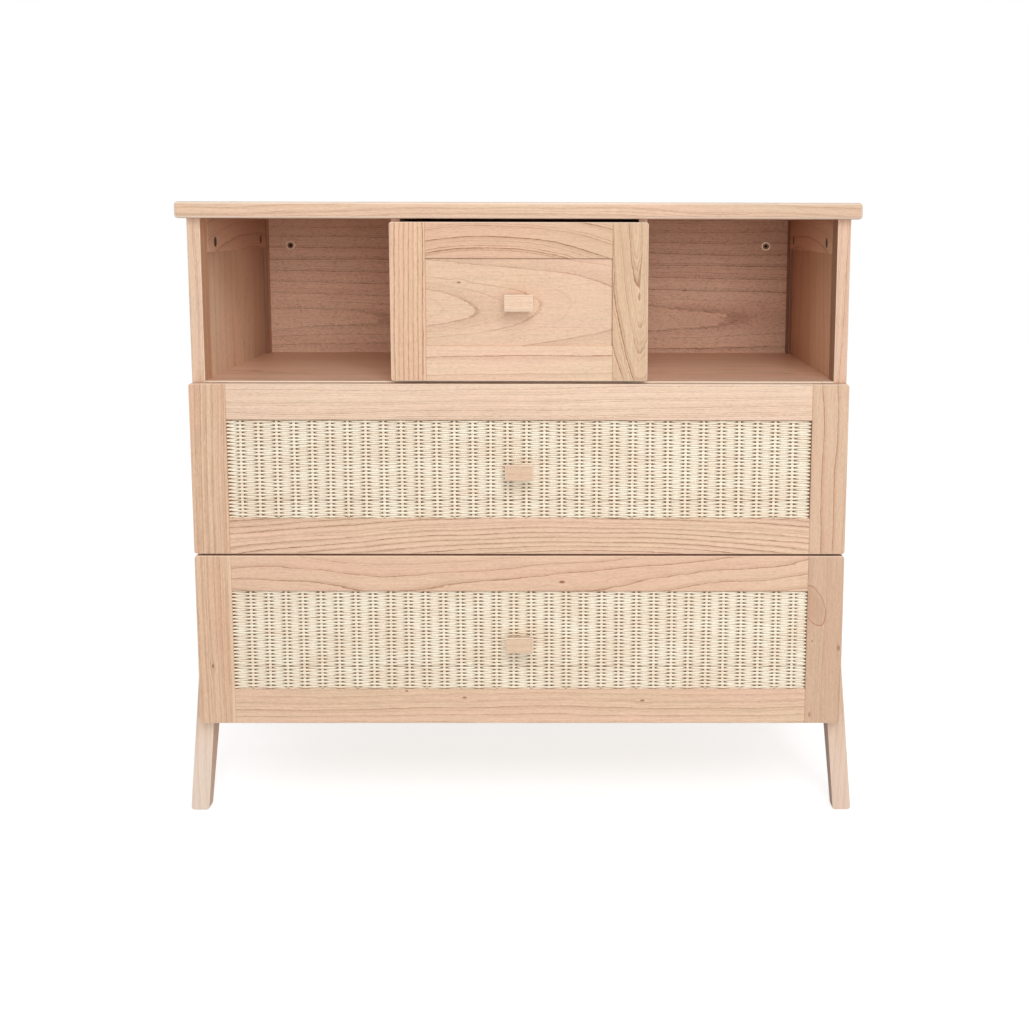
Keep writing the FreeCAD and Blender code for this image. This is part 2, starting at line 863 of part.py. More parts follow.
# Knobs: short wooden blocks that widen towards the hand from a narrow neck, with softened edges.
def knob(name, seat_y, level):
    """One knob, its back on the face that it is screwed to, bored for its screw."""
    hand_y = front_face - size.knob_reach
    body = new_body(f"{name}_drawer_knob", -size.knob_width / 2, hand_y, level - size.knob_height / 2)
    points = [(0, 0), (size.knob_width, 0), (size.knob_width, size.knob_height), (0, size.knob_height)]
    block_pad = pad(body, outline(body, "XZ_Plane", points), seat_y - hand_y, backwards=True)
    drive(block_pad, "TaperAngle", -size.knob_taper)
    round_edges(body, size.knob_round, lambda edge, box: not lies_on(edge, "y", box.YMax))
    depth = size.screw_bite + size.joint_play
    drill(body, "y", (zero, seat_y - depth, level), size.screw_diameter + size.joint_play * 2, depth)
    return body


def screw(label, x, head_y, level, tip_y):
    """A screw driven towards the front, its head inside the drawer."""
    head = rod(
        label + "_head", "y", (x, head_y, level), size.screw_head_diameter, size.screw_head_thickness
    )
    bar = rod(label + "_bar", "y", (x, tip_y, level), size.screw_diameter, head_y - tip_y)
    return combine("Fuse", label, head, bar)


screw_bore = size.screw_diameter + size.joint_play * 2
screw_head_y = front_back + size.box_thickness


def drill_for_screw(body, x, y, level):
    """A screw's clearance hole from front to back through one piece."""
    drill(body, "y", (x, y[0], level), screw_bore, y[1] - y[0])


def drawer(name, mount, tall, half_width, z, member, fillings):
    """One whole drawer. Its fillings are the thin boards in the front's frame, outermost first."""
    groove_start = front_face + fillings[0][1]
    groove_end = groove_start
    sheets = []
    for label, _, thickness in fillings:
        sheets.append((label, (groove_end, groove_end + thickness)))
        groove_end = groove_end + thickness
    groove_y = (groove_start - size.joint_play, groove_end + size.joint_play)
    upper, lower = front_frame(name, half_width, z, member, groove_y)
    box_front, box_z, inside = drawer_box(name, mount, tall)
    level = (z[0] + z[1]) / 2
    front_board_y = (front_back, screw_head_y)
    drill_for_screw(box_front, zero, front_board_y, level)
    for label, y in sheets:
        filling = infill(f"{name}_drawer_{label}", half_width, z, member, y)
        drill_for_screw(filling, zero, y, level)
        keep(filling)
    keep(knob(name, groove_start, level))
    screws = [screw(f"{name}_knob_screw", zero, screw_head_y, level, groove_start - size.screw_bite)]
    screw_rows = ((upper, box_z[1] - size.screw_edge), (lower, box_z[0] + size.screw_edge))
    for rail, height in screw_rows:
        for side in (-1, 1):
            x = (inside - size.screw_inset) * side
            drill_for_screw(box_front, x, front_board_y, height)
            drill_for_screw(rail, x, (front_back - size.screw_bite - size.joint_play, front_back), height)
            label = f"{name}_front_screw_{len(screws)}"
            screws.append(screw(label, x, screw_head_y, height, front_back - size.screw_bite))
    keep(group(f"{name}_drawer_screws", screws))


solid_panel = [("panel", size.small_panel_recess, size.small_panel_thickness)]
rattan_panel = [
    ("rattan", size.rattan_recess, size.rattan_thickness),
    ("backing", size.rattan_recess, size.backing_thickness),
]
drawer(
    "top",
    divider_inner,
    size.small_box_height,
    size.small_front_width / 2,
    (small_front_bottom, small_front_bottom + size.small_front_height),
    size.small_member_width,
    solid_panel,
)
drawer(
    "middle",
    inner_half,
    size.large_box_height,
    outer_half,
    (middle_front_bottom, middle_front_top),
    size.large_member_width,
    rattan_panel,
)
drawer(
    "lower",
    inner_half,
    size.large_box_height,
    outer_half,
    (size.low_front_bottom, low_front_top),
    size.large_member_width,
    rattan_panel,
)

doc.recompute()

# Every object of the document has to be sound before anything is written.
for item in doc.Objects:
    if "Invalid" in item.State or "Error" in item.State:
        raise RuntimeError(f"{item.Label} is {item.State}")
for item in kept:
    if item.Shape.isNull() or not item.Shape.isValid() or not item.Shape.Solids:
        raise RuntimeError(f"{item.Label} has no sound shape")
os.makedirs("parts", exist_ok=True)
for item in kept:
    item.Shape.exportStep(f"parts/{item.Label}.step")
    print(item.Label, len(item.Shape.Solids), round(item.Shape.Volume))
print(len(kept), "sub-parts")
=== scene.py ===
import itertools
import math
import random

import bpy
from mathutils import Matrix, Vector


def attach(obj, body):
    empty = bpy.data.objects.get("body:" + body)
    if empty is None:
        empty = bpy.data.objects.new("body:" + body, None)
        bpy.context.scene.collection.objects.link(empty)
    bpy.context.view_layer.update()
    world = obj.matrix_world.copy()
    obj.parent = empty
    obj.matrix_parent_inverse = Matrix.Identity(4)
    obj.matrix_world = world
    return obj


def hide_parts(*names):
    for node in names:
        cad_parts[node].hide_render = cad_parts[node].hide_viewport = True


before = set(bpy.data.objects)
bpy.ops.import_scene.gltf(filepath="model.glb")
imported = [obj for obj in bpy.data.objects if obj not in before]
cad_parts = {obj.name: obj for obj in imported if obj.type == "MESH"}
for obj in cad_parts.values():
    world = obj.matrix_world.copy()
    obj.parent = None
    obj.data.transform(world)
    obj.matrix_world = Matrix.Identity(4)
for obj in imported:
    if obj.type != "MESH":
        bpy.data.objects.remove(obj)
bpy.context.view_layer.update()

# Table top: one thick board of pale open-pored timber with softened edges, oiled matt. It lies on the
# legs and the side rails and is drawn down by cams. The timber of every other board is made here too:
# growth rings round a pith line, short open pores along the grain, and edges painted a little paler,
# partly worn oil and partly painted highlight.
MM_PER_M = 1000
X, Y, Z = range(3)


def tone(red, green, blue):
    """A colour as a swatch shows it, made linear for the shader."""
    steps = [value / 255 for value in (red, green, blue)]
    return [s / 12.92 if s <= 0.04045 else ((s + 0.055) / 1.055) ** 2.4 for s in steps] + [1.0]


class Finish:
    """Adds and joins the nodes of one finish."""

    def __init__(self, tree):
        self.tree = tree

    def feed(self, socket, value):
        """Joins another node's output to a socket, or sets a constant on it."""
        if isinstance(value, bpy.types.NodeSocket):
            self.tree.links.new(value, socket)
        else:
            socket.default_value = value

    def add(self, kind, inputs=None, **settings):
        """A new node of one kind, with its inputs fed and its settings made."""
        node = self.tree.nodes.new(kind)
        for key, value in settings.items():
            setattr(node, key, value)
        for key, value in (inputs or {}).items():
            self.feed(node.inputs[key], value)
        return node

    def maths(self, operation, *values, clamp=False):
        """One step of arithmetic on numbers."""
        inputs = dict(enumerate(values))
        return self.add("ShaderNodeMath", inputs, operation=operation, use_clamp=clamp).outputs[0]

    def times(self, first, *others):
        """The product of two or more numbers."""
        for value in others:
            first = self.maths("MULTIPLY", first, value)
        return first

    def vector(self, operation, *values):
        """One step of arithmetic on places or directions."""
        node = self.add("ShaderNodeVectorMath", dict(enumerate(values)), operation=operation)
        return node.outputs["Value" if operation == "LENGTH" else "Vector"]

    def scaled(self, vector, factor):
        """A vector made longer or shorter by a factor."""
        inputs = {0: vector, "Scale": factor}
        return self.add("ShaderNodeVectorMath", inputs, operation="SCALE").outputs["Vector"]

    def millimetres(self, where):
        """A place given in metres, as millimetres."""
        return self.vector("MULTIPLY", where, (MM_PER_M, MM_PER_M, MM_PER_M))

    def parts(self, vector):
        """The three numbers that a vector holds."""
        return self.add("ShaderNodeSeparateXYZ", {"Vector": vector}).outputs

    def noise(self, at, stretch, detail=2.0, rough=0.5, output="Fac"):
        """Cloudy variation, drawn out by a different length in millimetres along each direction."""
        place = self.vector("DIVIDE", at, stretch)
        inputs = {"Vector": place, "Scale": 1.0, "Detail": detail, "Roughness": rough}
        return self.add("ShaderNodeTexNoise", inputs).outputs[output]

    def fade(self, value, low, high, start=0.0, end=1.0):
        """Runs smoothly from start to end as the value passes from low to high."""
        inputs = {"Value": value, "From Min": low, "From Max": high, "To Min": start, "To Max": end}
        return self.add("ShaderNodeMapRange", inputs, interpolation_type="SMOOTHSTEP").outputs["Result"]

    def blend(self, share, first, second, mode="MIX"):
        """The first colour, with a share of the second."""
        node = self.add("ShaderNodeMix", data_type="RGBA", blend_type=mode)
        for place, value in ((0, share), (6, first), (7, second)):
            self.feed(node.inputs[place], value)
        return node.outputs[2]


def new_finish(label):
    """A material, with a finish to build it in and its shader."""
    material = bpy.data.materials.new(label)
    material.use_nodes = True
    return material, Finish(material.node_tree), material.node_tree.nodes["Principled BSDF"]


def growth_rings():
    """The shared figure of all the timber: rings, pores and fibres, from a place in the board."""
    group = bpy.data.node_groups.new("timber_figure", "ShaderNodeTree")
    for name, kind in (
        ("Place", "Vector"), ("Pith", "Vector"), ("Lean", "Vector"), ("Ring", "Float"), ("Fine", "Float"),
        ("Warp", "Float"), ("Vein", "Float"), ("Pores", "Float"), ("Seed", "Vector"), ("Pale", "Color"),
        ("Warm", "Color"), ("Dark", "Color"),
    ):
        group.interface.new_socket(name=name, in_out="INPUT", socket_type="NodeSocket" + kind)
    for name, kind in (("Color", "Color"), ("Relief", "Float"), ("Gloss", "Float")):
        group.interface.new_socket(name=name, in_out="OUTPUT", socket_type="NodeSocket" + kind)
    finish = Finish(group)
    given = finish.add("NodeGroupInput").outputs
    moved = finish.vector("ADD", given["Place"], given["Seed"])

    # how far each kind of mark runs along the grain and across it, in millimetres
    slow_wave = (240, 60, 60)
    quick_wave = (46, 11, 11)
    jagged_wave = (9, 2.4, 2.4)
    patch_size = (38, 7, 7)
    cloud_size = (260, 34, 34)
    fibre_size = (60, 2.2, 2.2)
    fleck_size = (8, 1.6, 1.6)
    pore_size = (6.0, 0.9, 0.9)
    fine_pore_size = (3.2, 0.35, 0.35)

    def bend(stretch, size, detail):
        """A push across the grain, up to about the given size in millimetres."""
        cloud = finish.noise(moved, stretch, detail, output="Color")
        return finish.scaled(finish.vector("SUBTRACT", cloud, (0.5, 0.5, 0.5)), size)

    # the pith line leans, and slow, quick and jagged waves bend the rings round it
    quick_share = 0.14
    jagged_bend = 1.6
    away = finish.vector("SUBTRACT", given["Place"], given["Pith"])
    along = finish.parts(away)[0]
    level = finish.vector("SUBTRACT", away, finish.scaled(given["Lean"], along))
    slow = bend(slow_wave, given["Warp"], 1.0)
    quick = bend(quick_wave, finish.times(given["Warp"], quick_share), 2.0)
    jagged = bend(jagged_wave, jagged_bend, 2.0)
    bent = finish.vector("ADD", finish.vector("ADD", level, slow), finish.vector("ADD", quick, jagged))
    radius = finish.vector("LENGTH", finish.vector("MULTIPLY", bent, (0, 1, 1)))
    width = finish.maths("ABSOLUTE", given["Ring"])

    def ring_edge(spacing, step):
        """Luck of each ring, and how far inside its edge a place is in millimetres."""
        count = finish.maths("DIVIDE", radius, spacing)
        number = finish.maths("FLOOR", count)
        luck = finish.add("ShaderNodeTexWhiteNoise", {"W": number}, noise_dimensions="1D").outputs["Value"]
        left_over = finish.maths("SUBTRACT", 1.0, finish.maths("FRACT", count))
        return luck, finish.times(left_over, step)

    # each ring has a dark line and a softer shade inside it, with hairlines in between. A line is full
    # dark at the ring's edge and ends some way inside it, in millimetres
    line_core, line_end = 0.35, 1.5
    hair_core, hair_end = 0.3, 1.3
    hair_share = 0.2
    weakest = 0.45
    shade_depth = 0.34
    shade_share = 0.35
    shade_least = 1.0
    patchy = finish.fade(finish.noise(moved, patch_size), 0.3, 0.6, weakest, 1.0)
    luck, inside = ring_edge(given["Ring"], width)
    strength = finish.times(finish.fade(luck, 0.0, 0.8, weakest, 1.0), given["Vein"])
    line = finish.fade(inside, line_core, line_end, 1.0, 0.0)
    line = finish.times(line, finish.times(strength, patchy))
    shade_reach = finish.maths("ADD", finish.times(width, shade_share), shade_least)
    into_shade = finish.maths("DIVIDE", inside, shade_reach)
    shade = finish.times(finish.fade(into_shade, 0.0, 1.0, shade_depth, 0.0), strength)
    luck, inside = ring_edge(finish.times(given["Ring"], hair_share), finish.times(width, hair_share))
    hair = finish.fade(inside, hair_core, hair_end, 1.0, 0.0)
    hair = finish.times(hair, finish.maths("POWER", luck, 2.0), patchy, given["Fine"])
    line = finish.maths("MAXIMUM", line, hair)

    # open pores, more of them beside each ring, and the finer fibres between
    pit_depth = 0.7
    fine_pit_depth = 0.5
    usual_crowd = 0.6
    crowd_at_ring = 1.6
    pits = finish.fade(finish.noise(moved, pore_size), 0.52, 0.68)
    fine_pits = finish.fade(finish.noise(moved, fine_pore_size, 1.0), 0.54, 0.66)
    fine_pits = finish.times(fine_pits, fine_pit_depth)
    pores = finish.maths("ADD", finish.times(pits, pit_depth), fine_pits, clamp=True)
    crowd = finish.maths("ADD", finish.times(shade, crowd_at_ring), usual_crowd, clamp=True)
    pores = finish.times(pores, crowd, given["Pores"])
    fibre = finish.noise(moved, fibre_size, 3.0)
    fleck = finish.noise(moved, fleck_size)
    cloud = finish.noise(moved, cloud_size)

    # clouds of warmer timber, a lighter and darker grain, then the lines and the pores over both
    pore_colour = 0.42
    pore_dullness = 0.18
    fibre_height = 0.25
    fibre_dullness = 0.08
    colour = finish.blend(finish.fade(cloud, 0.28, 0.72), given["Pale"], given["Warm"])
    fibre_light = finish.fade(fibre, 0.25, 0.75, 0.94, 1.05)
    fleck_light = finish.fade(fleck, 0.28, 0.72, 0.94, 1.04)
    grey = finish.times(fibre_light, fleck_light)
    light = finish.add("ShaderNodeCombineColor", {0: grey, 1: grey, 2: grey}).outputs[0]
    colour = finish.blend(1.0, colour, light, "MULTIPLY")
    colour = finish.blend(finish.maths("ADD", line, shade, clamp=True), colour, given["Dark"])
    colour = finish.blend(finish.times(pores, pore_colour), colour, given["Dark"])
    relief = finish.maths("SUBTRACT", finish.times(fibre, fibre_height), finish.maths("ADD", pores, line))
    dull_fibre = finish.fade(fibre, 0.3, 0.7, 0.0, fibre_dullness)
    gloss = finish.maths("ADD", dull_fibre, finish.times(pores, pore_dullness))
    finish.add("NodeGroupOutput", {"Color": colour, "Relief": relief, "Gloss": gloss})
    return group


figure = growth_rings()
grain_order = {"x": (X, Z, Y), "y": (Y, X, Z), "z": (Z, X, Y)}
pale_timber = tone(231, 200, 169)
warm_timber = tone(235, 197, 171)
ring_brown = tone(152, 104, 70)
knot_brown = tone(142, 80, 52)
heart_brown = tone(166, 102, 68)
# the paler colour of rounded edges: worn oil and painted highlight
worn_edge = tone(250, 232, 214)
KNOT_SHAPE = (0.5, 1, 0.3)
KNOT_CORE = 0.35
KNOT_END = 1.2
KNOT_REACH = 6
KNOT_PULL = -0.85
HEART_SLOPE = 0.24
HEART_WAVE = (14, 14, 14)
HEART_WOBBLE = 0.2
HEART_RIM = 0.06
HEART_RIM_DEPTH = 0.75
JOINT_CORE = 0.15
JOINT_END = 0.75
JOINT_DEPTH = 0.45
EDGE_ROUND = 0.80
EDGE_FLAT = 0.985
SHADED_FACE_FROM = 0.7
SHADED_FACE_FULL = 0.95
PORE_DEPTH = 0.00012
TIMBER_SHEEN = 0.35
SEED_STEPS = (917.3, 143.7, 271.9)
board_numbers = itertools.count(1)


def timber(label, grain, pith, lean=(0, 0), ring=8.0, fine=0.25, warp=9.0, vein=0.6, pores=0.8, rough=0.5,
           pale=pale_timber, warm=warm_timber, dark=ring_brown, knots=(), heart=None, joint=None, worn=0.75,
           washes=(), turned=()):
    """Timber for one board. The pith is counted along the grain, then across it, in millimetres, and a
    ring counted below nought turns its soft side outwards. A knot is given by its centre, radius and
    depth of colour, and a lens of heartwood by its centre and its half length and half width."""
    material, finish, shader = new_finish(label + "_timber")
    where = finish.add("ShaderNodeTexCoord").outputs
    axes = finish.parts(finish.millimetres(where["Object"]))
    order = grain_order[grain]
    place = finish.add("ShaderNodeCombineXYZ", {i: axes[order[i]] for i in range(3)}).outputs[0]

    # each knot pushes the rings aside, and is a brown spot itself
    spots = []
    for centre, radius, depth in knots:
        gap = finish.vector("SUBTRACT", place, centre)
        far = finish.vector("LENGTH", finish.vector("MULTIPLY", gap, KNOT_SHAPE))
        pull = finish.fade(far, 0.0, radius * KNOT_REACH, KNOT_PULL, 0.0)
        place = finish.vector("ADD", place, finish.scaled(gap, pull))
        spots.append(finish.fade(far, radius * KNOT_CORE, radius * KNOT_END, depth, 0.0))

    # a lens of heartwood has a dark rim, and is redder inside
    if heart:
        centre, half_long, half_wide = heart
        size = (1 / half_long, 1 / half_wide, 0)
        wobble = finish.noise(place, HEART_WAVE, 1.0)
        gap = finish.vector("SUBTRACT", place, centre)
        rise = finish.times(finish.parts(gap)[0], HEART_SLOPE)
        slope = finish.add("ShaderNodeCombineXYZ", {1: rise}).outputs[0]
        away = finish.vector("LENGTH", finish.vector("MULTIPLY", finish.vector("ADD", gap, slope), size))
        uneven = finish.times(finish.maths("SUBTRACT", wobble, 0.5), HEART_WOBBLE)
        away = finish.maths("ADD", away, uneven)
        off_rim = finish.maths("ABSOLUTE", finish.maths("SUBTRACT", away, 1.0))
        rim = finish.fade(off_rim, 0.0, HEART_RIM, HEART_RIM_DEPTH, 0.0)
        flush = finish.fade(away, 0.45, 1.0, 0.2, 0.1)
        flush = finish.times(flush, finish.fade(away, 0.98, 1.0, 1.0, 0.0))

    # each board is cut from another place in the tree
    number = next(board_numbers)
    seed = [number * step for step in SEED_STEPS]
    group = finish.add("ShaderNodeGroup", node_tree=figure)
    for key, value in (
        ("Place", place), ("Pith", pith), ("Lean", (0, lean[0], lean[1])), ("Ring", ring), ("Fine", fine),
        ("Warp", warp), ("Vein", vein), ("Pores", pores), ("Seed", seed), ("Pale", pale), ("Warm", warm),
        ("Dark", dark),
    ):
        finish.feed(group.inputs[key], value)
    colour = group.outputs["Color"]
    if heart:
        colour = finish.blend(finish.maths("MAXIMUM", rim, flush), colour, heart_brown)
    for spot in spots:
        colour = finish.blend(spot, colour, knot_brown)

    # a hairline of shade where a rail meets a stile
    if joint:
        side = finish.maths("ABSOLUTE", axes[X])
        near = finish.maths("ABSOLUTE", finish.maths("SUBTRACT", side, joint))
        shade = finish.fade(near, JOINT_CORE, JOINT_END, JOINT_DEPTH, 0.0)
        colour = finish.blend(shade, colour, ring_brown)

    # rounded edges have no face of their own along an axis, and are painted paler there: partly oil worn off,
    # partly painted highlight
    facing = finish.parts(finish.vector("ABSOLUTE", where["Normal"]))
    flat = finish.maths("MAXIMUM", finish.maths("MAXIMUM", facing[X], facing[Y]), facing[Z])
    colour = finish.blend(finish.fade(flat, EDGE_ROUND, EDGE_FLAT, worn, 0.0), colour, worn_edge)

    # a wash is a change of colour along one direction: some washes are painted shade, one is a painted
    # highlight, and others change the timber's tone
    for direction, start, end, share, wash in washes:
        colour = finish.blend(finish.fade(axes[direction], start, end, share, 0.0), colour, wash)

    # painted shade on a face turned one way
    for direction, way, share, wash in turned:
        faced = finish.times(finish.parts(where["Normal"])[direction], way)
        face_shade_share = finish.fade(faced, SHADED_FACE_FROM, SHADED_FACE_FULL, 0.0, share)
        colour = finish.blend(face_shade_share, colour, wash)

    relief = {"Height": group.outputs["Relief"], "Strength": 0.5, "Distance": PORE_DEPTH}
    bump = finish.add("ShaderNodeBump", relief)
    finish.feed(shader.inputs["Base Color"], colour)
    finish.feed(shader.inputs["Roughness"], finish.maths("ADD", group.outputs["Gloss"], rough))
    finish.feed(shader.inputs["Normal"], bump.outputs["Normal"])
    finish.feed(shader.inputs["Specular IOR Level"], TIMBER_SHEEN)
    return material


def dress(node, material):
    """Gives a piece of the frame its finish."""
    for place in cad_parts[node].material_slots:
        place.material = material


def board(node, grain, pith, lean=(0, 0), **figured):
    """Gives a board, or a group of like boards, timber of its own."""
    dress(node, timber(node, grain, pith, lean, **figured))


board("table_top", "x", (-60, 690, -150), (0.035, 0.10), ring=8.5, fine=0.5, warp=24, vein=0.5,
      pale=tone(226, 195, 165), warm=tone(229, 191, 164), washes=((X, 470, 60, 0.2, tone(170, 136, 112)),))

# Legs: four posts, each sawn in one piece with its splayed and tapered foot, grain running down its
# length. The timber is a little paler and plainer than that of the drawer fronts, and paler towards the foot.
# The right legs are painted a little darker than the left as painted shade, and the back legs' front faces,
# inside the compartments, carry painted shade.
# the right legs are painted darker than the left: painted shade
leg_pale = {"right": tone(224, 190, 160), "left": tone(228, 196, 166)}
leg_warm = {"right": tone(226, 189, 164), "left": tone(229, 195, 171)}
paler_foot = {
    "right": (Z, 60, 240, 0.45, tone(245, 226, 213)),
    "left": (Z, 60, 240, 0.46, tone(254, 242, 232)),
}
# painted shade on the back legs' front faces, inside the compartments
shaded_front = (Y, 193.8, 213.0, 0.8, tone(118, 72, 50))
# painted shade on the legs' inner faces, deepest on the right legs
inner_face_shade = {"right": (X, -1, 0.62, tone(132, 80, 54)), "left": (X, 1, 0.38, tone(208, 138, 84))}
leg_pith = {
    "right_front_leg": (900, 610, -120),
    "left_front_leg": (740, -610, -50),
    "right_back_leg": (580, 610, 20),
    "left_back_leg": (420, -610, 90),
}
for label, pith in leg_pith.items():
    hand = label.split("_")[0]
    at_back = "back" in label
    board(label, "z", pith, (0.02, 0.01), ring=9, fine=0.5, warp=16, vein=0.42, pores=0.6,
          pale=leg_pale[hand], warm=leg_warm[hand], worn=0.25 if at_back else 0.75,
          turned=(inner_face_shade[hand],),
          washes=(paler_foot[hand], shaded_front) if at_back else (paler_foot[hand],))

# Side frames: a top and a low rail tongued between the legs, and a thin solid panel that floats in
# their grooves. Where the open compartments shade them, panel and top rail carry painted shade: a redder,
# deeper colour towards the back and towards the top.
SIDES = {"right": 1, "left": -1}
# a redder copy of the timber with deeper ring lines for inside the compartments, painted for the reddish
# shade in there, and a brown for painted shade towards the back and the top
shaded_inside_dark = tone(140, 84, 58)
painted_shade_brown = tone(150, 92, 62)
shaded_inside_timber = {"pale": tone(243, 207, 180), "warm": tone(240, 198, 171), "dark": shaded_inside_dark}
# the left side panel is painted lighter than the right: painted light, as the lamps fall from the right
panel_pale = {"right": tone(250, 216, 184), "left": tone(255, 226, 196)}
panel_warm = {"right": tone(247, 207, 175), "left": tone(253, 219, 188)}
panel_pith_height = {"right": 300, "left": 800}
panel_shade_end = {"right": -80, "left": 30}
for hand, side in SIDES.items():
    board(f"{hand}_side_panel", "z", (panel_pith_height[hand], 560 * side, 60), (0.04, 0.03), ring=22,
          fine=0.4, warp=30, vein=0.3, worn=0.2,
          pale=panel_pale[hand], warm=panel_warm[hand], dark=shaded_inside_dark,
          washes=((Y, 200, panel_shade_end[hand], 0.55, painted_shade_brown), (Z, 860, 700, 0.3, painted_shade_brown)))
    board(f"{hand}_side_top_rail", "y", (-40, 480 * side, 770), (-0.3 * side, 0.02), ring=20, fine=0.35,
          warp=20, vein=0.5, worn=0.1, **shaded_inside_timber,
          washes=((Y, 200, -60, 0.42, painted_shade_brown), (Z, 878, 820, 0.3, painted_shade_brown)))
board("side_bottom_rails", "y", (0, 0, 90), ring=7, warp=14, vein=0.5)

# Shelf and dividers: the floor of the open compartments, planed smooth, and the two upright boards
# that frame the small drawer. Their front edges are rounded, and the shelf's front edge carries a painted
# highlight.
# Both use the redder painted-shade copy of the timber.
board("display_shelf", "x", (0, 420, -80), (0.0, 0.02), ring=16, fine=0.3, warp=20, vein=0.25, pores=0.4,
      rough=0.34, washes=((Y, -185.6, -182.8, 0.85, tone(252, 236, 212)),), **shaded_inside_timber)
for hand, side in SIDES.items():
    board(f"{hand}_divider", "z", (500, 260 * side, 30), (0.02, 0.02), ring=7, warp=15, vein=0.4,
          **shaded_inside_timber)

# Back: a thick upper board whose rings close in a long low tongue, seen through the open compartments,
# and a thin veneered board behind the wide drawers. Painted shade lies in the joint at each end of the upper
# one, and darkens it towards its top, under the table top.
joint_shade = tone(84, 42, 28)
board("upper_back_panel", "x", (60, 702, 257.7), (0.0, 0.03), ring=-18, fine=0.45, warp=12, vein=0.5,
      pores=2.2, **shaded_inside_timber, washes=(
          (Z, 872, 720, 0.3, painted_shade_brown), (X, 448.6, 446.4, 0.85, joint_shade),
          (X, -448.6, -446.4, 0.85, joint_shade)))
board("lower_back_panel", "z", (200, 0, 40), (0.3, 0.1), ring=12, warp=40, vein=0.45,
      pale=tone(222, 188, 154), warm=tone(206, 168, 132))

# Cross rails and slide battens: plain planed strips that tie the legs together behind the drawer
# fronts and carry the drawer slides.
for label in ("front_rails", "back_rails"):
    board(label, "x", (0, 60, -60), ring=6, warp=12, vein=0.5)
board("slide_battens", "y", (0, 0, 200), ring=5, warp=10, vein=0.45)


# Cams, pins and wall bolts: slotted zinc castings let into the side rails, the turned pins they hold,
# and two bronzed socket bolts through the upper back board, with a pale rim, partly wear and partly
# painted highlight, and painted shade in the socket.
def metal(label, colour, rough, uneven, grain, socket=None):
    """Bare metal with fine marks drawn out along one direction. A socket is given by how far it lies
    from the middle, its height, and the radius of its hole and its rim."""
    dull_size = (9, 9, 9)
    dullness = 0.72
    rim_bareness = 0.35
    material, finish, shader = new_finish(label)
    place = finish.millimetres(finish.add("ShaderNodeTexCoord").outputs["Object"])
    marks = finish.noise(place, grain, 3.0, 0.6)
    dull = finish.noise(place, dull_size)
    grey = [channel * dullness for channel in colour[:3]] + [1.0]
    stain = finish.fade(finish.maths("ADD", finish.times(marks, 0.6), finish.times(dull, 0.4)), 0.35, 0.65)
    skin = finish.blend(stain, grey, colour)
    bareness = 1.0
    if socket:
        from_middle, height, hole, rim = socket
        axes = finish.parts(place)
        sideways = finish.maths("SUBTRACT", finish.maths("ABSOLUTE", axes[X]), from_middle)
        upward = finish.maths("SUBTRACT", axes[Z], height)
        squares = [finish.maths("POWER", gap, 2.0) for gap in (sideways, upward)]
        far = finish.maths("SQRT", finish.maths("ADD", *squares))
        # a pale rim, partly wear and partly painted highlight, and painted shade down in the socket's hole
        worn_rim = finish.fade(far, rim - 1.0, rim - 0.3)
        hole_shade = finish.fade(far, hole, hole + 0.7, 1.0, 0.0)
        skin = finish.blend(worn_rim, skin, tone(224, 198, 172))
        skin = finish.blend(hole_shade, skin, tone(26, 18, 15))
        bareness = finish.fade(worn_rim, 0.0, 1.0, 1.0, rim_bareness)
    bump = finish.add("ShaderNodeBump", {"Height": marks, "Strength": 0.25, "Distance": 0.00005})
    finish.feed(shader.inputs["Base Color"], skin)
    finish.feed(shader.inputs["Roughness"], finish.fade(marks, 0.3, 0.7, rough - uneven, rough + uneven))
    finish.feed(shader.inputs["Normal"], bump.outputs["Normal"])
    finish.feed(shader.inputs["Metallic"], bareness)
    return material


cast_zinc = metal("cast_zinc", tone(122, 106, 96), rough=0.42, uneven=0.08, grain=(1.6, 1.6, 1.6))
bronzed_bolt = metal("bronzed_bolt", tone(122, 90, 68), rough=0.42, uneven=0.07, grain=(0.8, 4.0, 0.8),
                     socket=(410, 830, 2.2, 6.1))
dress("cam_locks", cast_zinc)
dress("cam_pins", cast_zinc)
dress("wall_fixing_bolts", bronzed_bolt)

# Drawer slides: three nested channels of bright plated sheet steel, rolled along their length. The fixed
# ones lie on the dividers and the battens, and the inner ones on the sides of the drawer boxes.
DRAWERS = ("top", "middle", "lower")
rolled_steel = metal("rolled_steel", tone(198, 201, 206), rough=0.33, uneven=0.08, grain=(0.6, 60.0, 0.6))
dress("slide_fixed_members", rolled_steel)
for drawer in DRAWERS:
    dress(f"{drawer}_drawer_slide_middle_members", rolled_steel)
    dress(f"{drawer}_drawer_slide_inner_members", rolled_steel)

# Small drawer front: a frame of two stiles and two rails round a thin panel, all in showy crown-cut
# timber. The panel's figure is a long tongue and wide arches that close towards the right.
FRONT_FACE = -205
PANEL_FACE = -203
small_frame = {"joint": 131, "pores": 0.9}
board("top_drawer_left_stile", "z", (760, -300, -200), (0.01, 0), ring=6.4, fine=0.2, warp=10, vein=0.78,
      **small_frame, pale=tone(229, 193, 160), warm=tone(230, 188, 158))
board("top_drawer_right_stile", "z", (700, 172, -230), (-0.06, 0.2), ring=11, fine=0.5, warp=30, vein=0.7,
      **small_frame, pale=tone(219, 188, 156), warm=tone(215, 180, 148))
board("top_drawer_top_rail", "x", (-30, 795, FRONT_FACE), (-0.02, 0.3), ring=14, fine=0.75, warp=16, vein=0.8,
      **small_frame, pale=tone(219, 184, 153), warm=tone(224, 181, 154))
board("top_drawer_bottom_rail", "x", (60, 530, FRONT_FACE), (0.03, 0.02), ring=26, fine=0.15, warp=14,
      vein=0.75, **small_frame)
